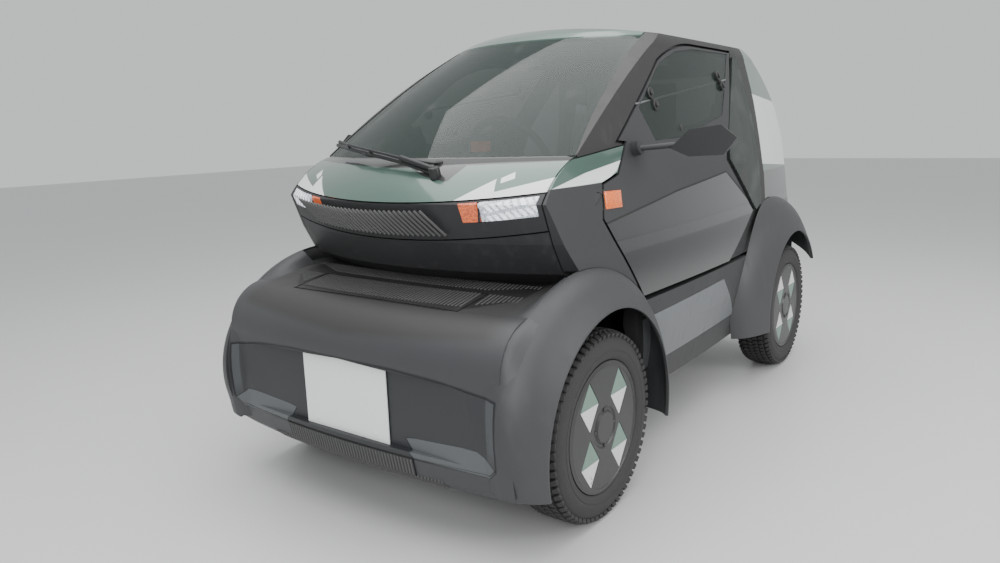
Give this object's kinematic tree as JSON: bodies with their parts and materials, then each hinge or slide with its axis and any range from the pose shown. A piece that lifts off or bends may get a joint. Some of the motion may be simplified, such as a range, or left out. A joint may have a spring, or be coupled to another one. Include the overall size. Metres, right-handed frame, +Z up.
{
  "type": "electric microcar",
  "caption": "Narrow tandem electric microcar with wrap-around windscreen, roof hoops, upward-swinging doors, open flared fenders and covered wheels.",
  "frame": {"origin": "on the ground under the middle of the bounding box", "axes": "+Z up, +Y towards the tail, the nose faces -Y, the left side is at +X"},
  "size_m": [1.676, 2.4287, 1.4598],
  "materials": {
    "dark_plastic": "fine-grained moulded plastic",
    "frame_black": "black-painted steel",
    "glass": "clear tinted glazing",
    "body_green": "gloss sage green moulded panel",
    "lamp_clear": "clear lamp lens",
    "lamp_red": "red lamp lens",
    "grey_panel": "pale grey moulded panel",
    "door_gloss": "gloss dark panel",
    "battery": "sealed battery case",
    "steel": "machined steel",
    "seat": "padded seat cover",
    "tyre": "road tyre",
    "wheel_white": "painted wheel with cover"
  },
  "bodies": {
    "body": {"roof_hoops": "dark_plastic", "cabin_frames": "frame_black", "windscreen": "glass", "roof_panel": "body_green", "nose_panel": "body_green", "nose_band": "dark_plastic", "headlamps": "lamp_clear", "nose_apron": "dark_plastic", "side_cowls": "dark_plastic", "quarter_windows": "glass", "tail_shell": "body_green", "rear_window": "glass", "tail_lamps": "lamp_red", "sills": "dark_plastic", "sill_panels": "grey_panel", "front_fenders": "dark_plastic", "rear_fenders": "dark_plastic", "front_bumper": "dark_plastic", "rear_bumper": "dark_plastic", "floor_tub": "dark_plastic", "chassis_frame": "frame_black", "battery_pack": "battery", "rear_axle": "frame_black", "front_suspension": "frame_black", "dashboard": "dark_plastic", "driver_seat": "seat", "rear_seat": "seat", "seat_shell": "dark_plastic", "wiper": "frame_black"},
    "lid": {"front_lid": "dark_plastic"},
    "left_door": {"door_left": "door_gloss", "door_glass_left": "glass", "mirror_left": "dark_plastic"},
    "right_door": {"door_right": "door_gloss", "door_glass_right": "glass", "mirror_right": "dark_plastic"},
    "left_knuckle": {"knuckle_left": "steel"},
    "right_knuckle": {"knuckle_right": "steel"},
    "hand_wheel": {"steering_wheel": "dark_plastic"},
    "front_left_wheel": {"tyre_front_left": "tyre", "wheel_front_left": "wheel_white"},
    "front_right_wheel": {"tyre_front_right": "tyre", "wheel_front_right": "wheel_white"},
    "rear_left_wheel": {"tyre_rear_left": "tyre", "wheel_rear_left": "wheel_white"},
    "rear_right_wheel": {"tyre_rear_right": "tyre", "wheel_rear_right": "wheel_white"}
  },
  "joints": [
    {"name": "front_lid_hinge", "type": "hinge", "parent": "body", "child": "lid", "pos_m": [0, -0.956, 0.6615], "axis": [-1, 0, 0], "range_deg": [0, 60]},
    {"name": "door_left_hinge", "type": "hinge", "parent": "body", "child": "left_door", "pos_m": [0.505, -0.672, 0.915], "axis": [0.7998, 0.2999, -0.5199], "range_deg": [0, 65]},
    {"name": "door_right_hinge", "type": "hinge", "parent": "body", "child": "right_door", "pos_m": [-0.505, -0.672, 0.915], "axis": [0.7998, -0.2999, 0.5199], "range_deg": [0, 65]},
    {"name": "steer_left", "type": "hinge", "parent": "body", "child": "left_knuckle", "pos_m": [0.44, -0.785, 0.2785], "axis": [0, 0, 1], "range_deg": [-32, 32]},
    {"name": "steer_right", "type": "hinge", "parent": "body", "child": "right_knuckle", "pos_m": [-0.44, -0.785, 0.2785], "axis": [0, 0, 1], "range_deg": [-32, 32]},
    {"name": "steering_wheel_turn", "type": "hinge", "parent": "body", "child": "hand_wheel", "pos_m": [0, -0.36, 1], "axis": [0, 0.9063, 0.4226], "range_deg": [-480, 480]},
    {"name": "wheel_front_left_spin", "type": "hinge", "parent": "left_knuckle", "child": "front_left_wheel", "pos_m": [0.545, -0.785, 0.2785], "axis": [1, 0, 0], "continuous": true},
    {"name": "wheel_front_right_spin", "type": "hinge", "parent": "right_knuckle", "child": "front_right_wheel", "pos_m": [-0.545, -0.785, 0.2785], "axis": [1, 0, 0], "continuous": true},
    {"name": "wheel_rear_left_spin", "type": "hinge", "parent": "body", "child": "rear_left_wheel", "pos_m": [0.545, 0.915, 0.2785], "axis": [1, 0, 0], "continuous": true},
    {"name": "wheel_rear_right_spin", "type": "hinge", "parent": "body", "child": "rear_right_wheel", "pos_m": [-0.545, 0.915, 0.2785], "axis": [1, 0, 0], "continuous": true}
  ],
  "couplings": [
    {"joint": "steer_right", "follows": "steer_left", "ratio": 1},
    {"joint": "steering_wheel_turn", "follows": "steer_left", "ratio": 15}
  ]
}
